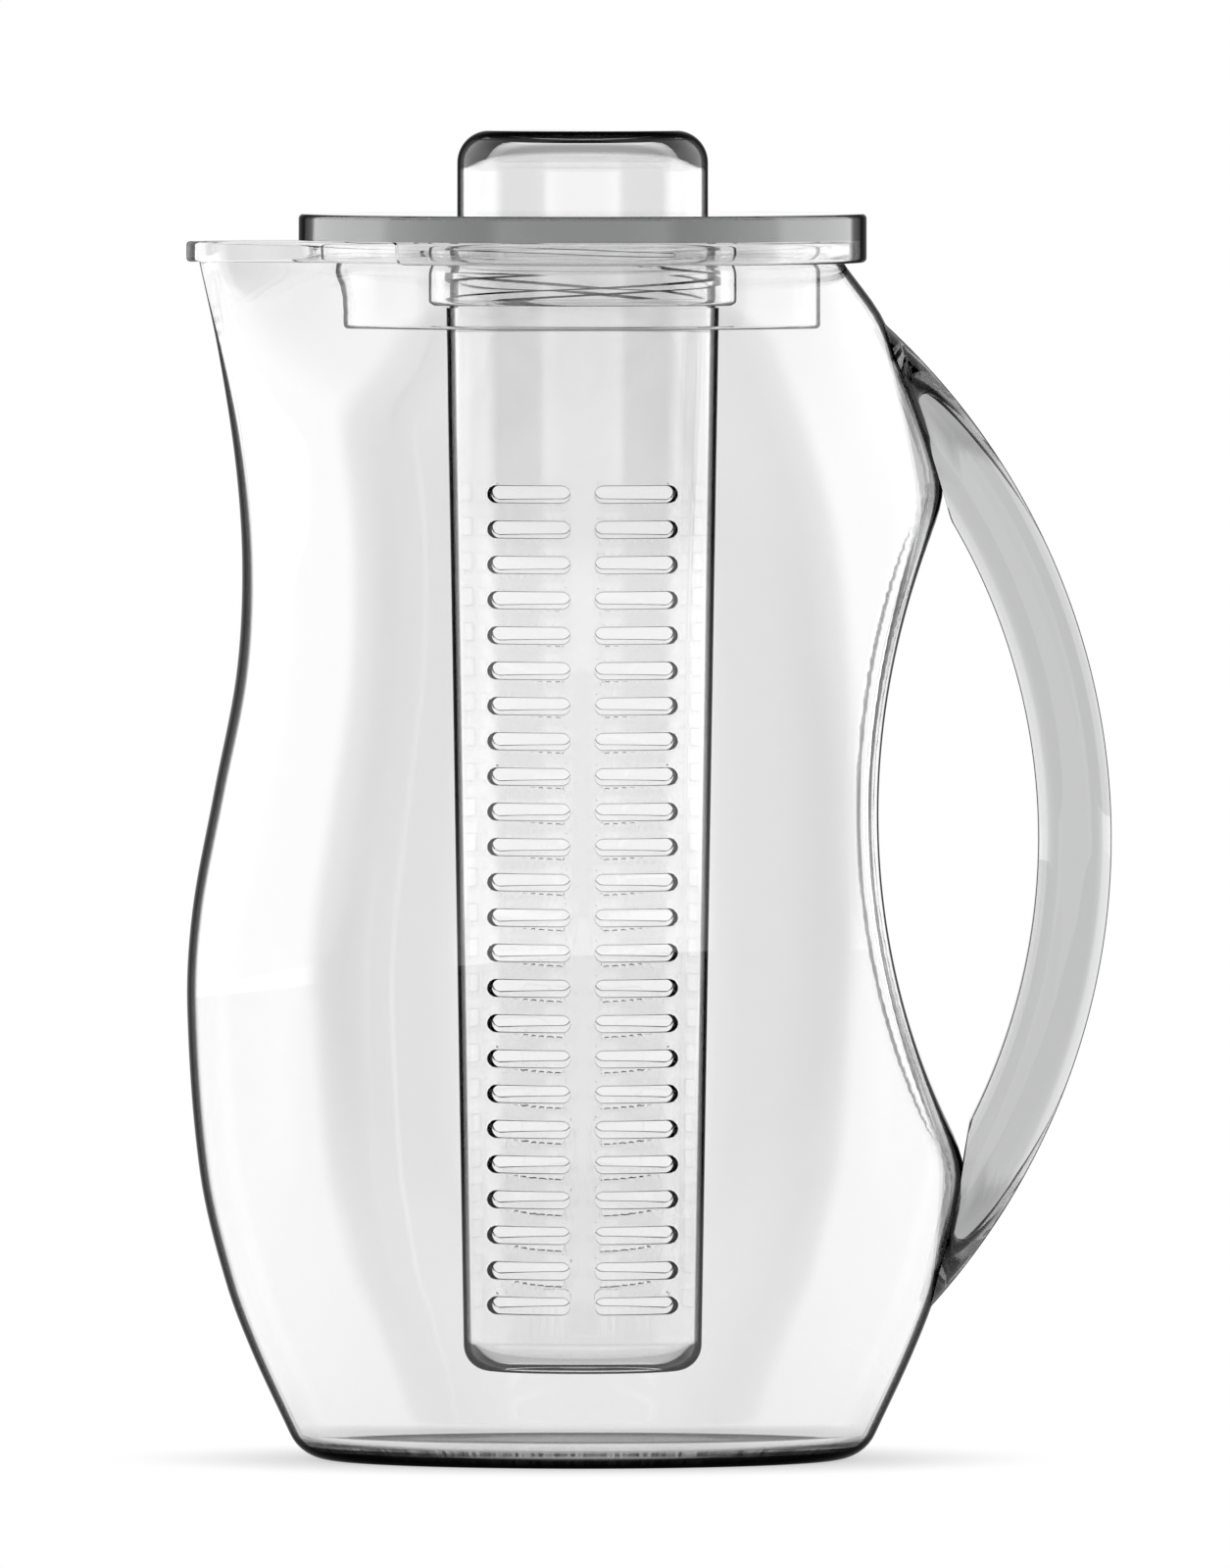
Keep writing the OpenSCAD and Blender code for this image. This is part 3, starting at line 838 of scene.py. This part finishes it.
# The thread's two ridges: a short section swept up round the neck.
bm = bmesh.new()
ridge_root = 0.0003
ridge = [(-ridge_root, -thread_w / 2), (thread_h, -thread_w / 4), (thread_h, thread_w / 4),
         (-ridge_root, thread_w / 2)]
ridge_turns = 1.36
ridge_steps = 150
for start_angle in (math.pi, 0):
    chain = [bm.verts.new((neck_r + out, 0, thread_z + up)) for out, up in ridge]
    edges = [bm.edges.new(pair) for pair in zip(chain, chain[1:] + chain[:1])]
    bmesh.ops.spin(bm, geom=chain + edges, angle=2 * math.pi * ridge_turns, steps=ridge_steps,
                   axis=(0, 0, 1), cent=(0, 0, 0),
                   dvec=(0, 0, thread_lead * ridge_turns / ridge_steps))
    swept = [v for v in bm.verts if not v.tag]
    bmesh.ops.rotate(bm, verts=swept, cent=(0, 0, 0),
                     matrix=Matrix.Rotation(start_angle, 3, "Z"))
    for v in swept:
        v.tag = True
bmesh.ops.holes_fill(bm, edges=[e for e in bm.edges if e.is_boundary])
joined(tube, bm, "UNION")

# The slots are laid out flat and bent round the tube, so that their ends stay square to it.
end_steps = 12
side_steps = 8


def slot_outline(low, high, middle_z):
    half_h = slot_h / 2
    straight = [mix(low + half_h, high - half_h, i / side_steps) for i in range(1, side_steps)]
    return (round_corner(high - half_h, middle_z, half_h, -90, 90, end_steps)
            + [(x, middle_z + half_h) for x in straight[::-1]]
            + round_corner(low + half_h, middle_z, half_h, 90, 270, end_steps)
            + [(x, middle_z - half_h) for x in straight])


def round_the_tube(facing):
    def place(along, up, depth):
        angle = math.radians(facing) + math.asin(along / tube_r(up))
        r = tube_r(up) + depth
        return Vector((r * math.cos(angle), r * math.sin(angle), up))
    return place


# Depths are counted in metres from the tube's outer face. Both ends of the cut flare over
# the slot's rounded edges.
slot_edge_r = 0.00035
slot_edge_steps = 4
cut_inside = 0.0035
cut_outside = 0.006
edge_turns = [math.radians(90 * i / slot_edge_steps) for i in range(slot_edge_steps + 1)]
outer_flare = [(-slot_edge_r * (1 - math.sin(t)), slot_edge_r * (1 - math.cos(t)))
               for t in edge_turns]
inner_flare = [(-tube_wall_t + slot_edge_r * (1 - math.sin(t)), slot_edge_r * (1 - math.cos(t)))
               for t in edge_turns[::-1]]
cut_steps = ([(-cut_inside, slot_edge_r)] + inner_flare + outer_flare
             + [(cut_outside, slot_edge_r)])
columns = [(facing, low, high) for facing in (90, 270)
           for low, high in ((-slot_far, -slot_near), (slot_near, slot_far))]

bm = bmesh.new()
for row in range(slot_rows):
    z = slot_z + row * slot_pitch
    for facing, low, high in columns:
        spine = (low + slot_h / 2, high - slot_h / 2, z)
        punch(bm, slot_outline(low, high, z), round_the_tube(facing), cut_steps, spine)
joined(tube, bm, "DIFFERENCE")
mark_inside(tube)
# Painted shade on the slots' upper and lower walls, darkest where a wall lies flat.
slot_dark = 0.97
slot_face_limit = 0.9


def slot_painted_shade(face):
    beside_slots = slot_z - slot_h < face.center.z < slot_z + slot_rows * slot_pitch
    if beside_slots and abs(face.normal.dot(outward(face))) < slot_face_limit:
        return slot_dark * abs(face.normal.z)
    return 0


paint_shade_marks(tube, slot_painted_shade)
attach(tube, "infuser")
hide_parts("infuser_tube")

low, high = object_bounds()
